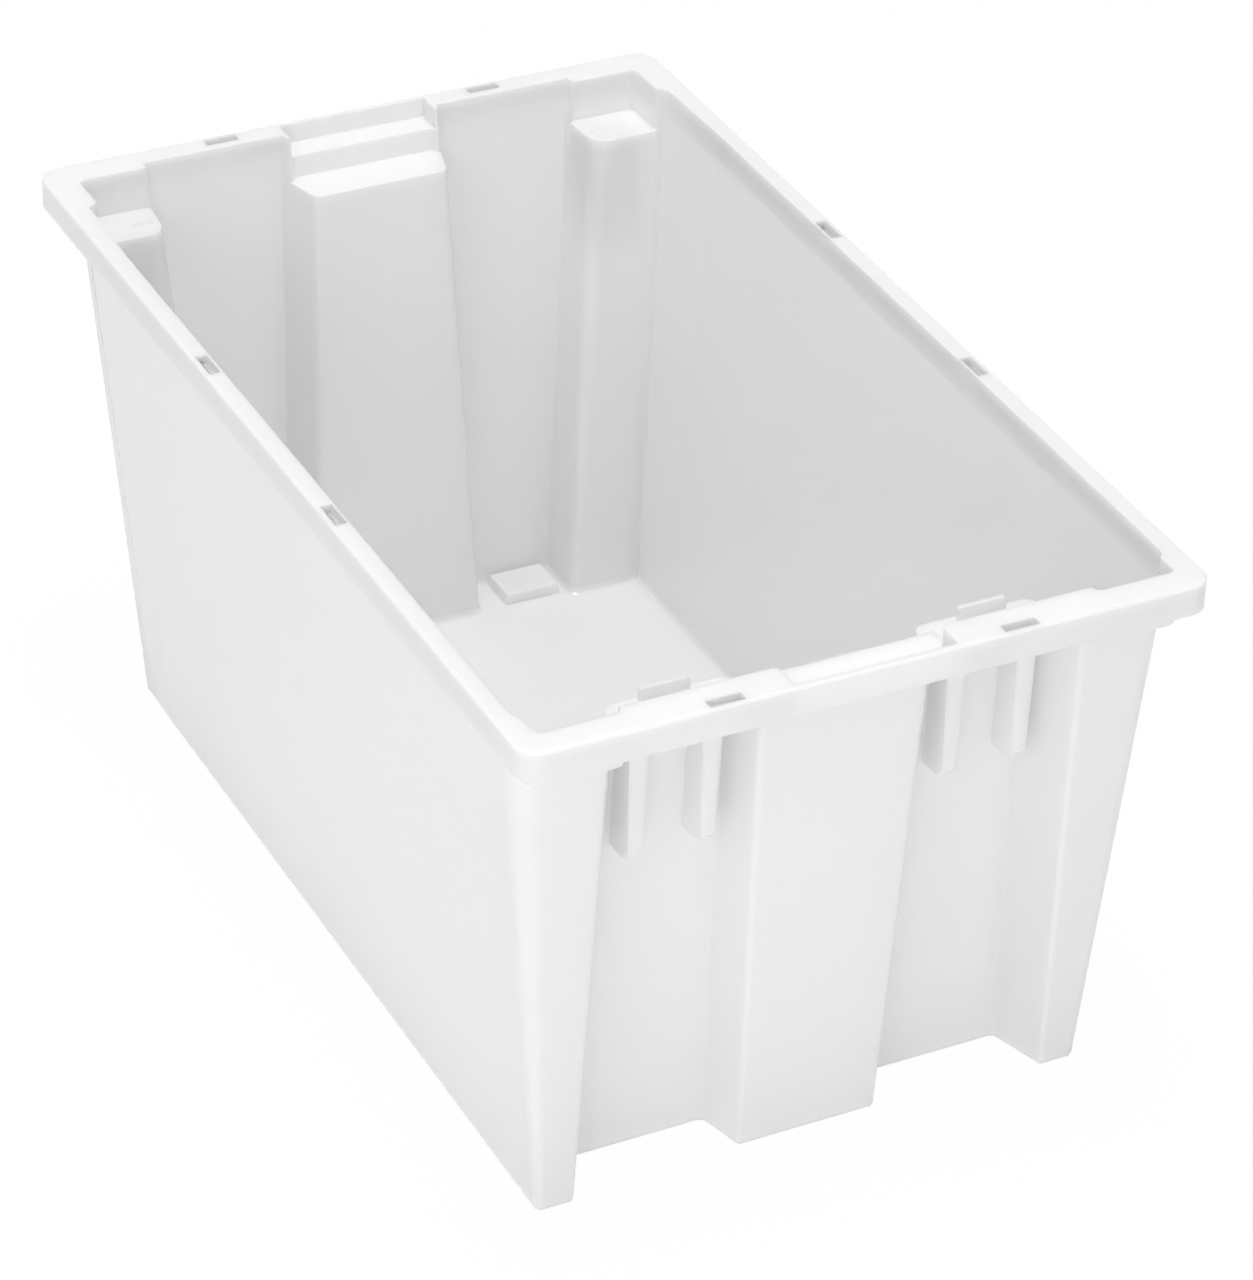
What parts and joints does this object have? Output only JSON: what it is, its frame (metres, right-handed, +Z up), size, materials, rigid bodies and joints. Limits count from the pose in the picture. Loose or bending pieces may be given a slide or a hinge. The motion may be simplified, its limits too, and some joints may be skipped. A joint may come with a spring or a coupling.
{
  "type": "stack and nest tote",
  "caption": "Clear plastic stack and nest tote with feet at one end, stepped columns with seats at the other and a turned-down rim.",
  "frame": {"origin": "middle of the underside of the base", "axes": "+Z up out of the open top, +X along the length towards the end with three outward feet, +Y across, so the far end with the stepped columns is at -X"},
  "size_m": [0.4572, 0.2794, 0.2286],
  "materials": {
    "body": "natural polypropylene, milky and half clear, satin, with a soft moulded sheen"
  },
  "bodies": {
    "root": {"tote_body": "body"}
  },
  "joints": []
}
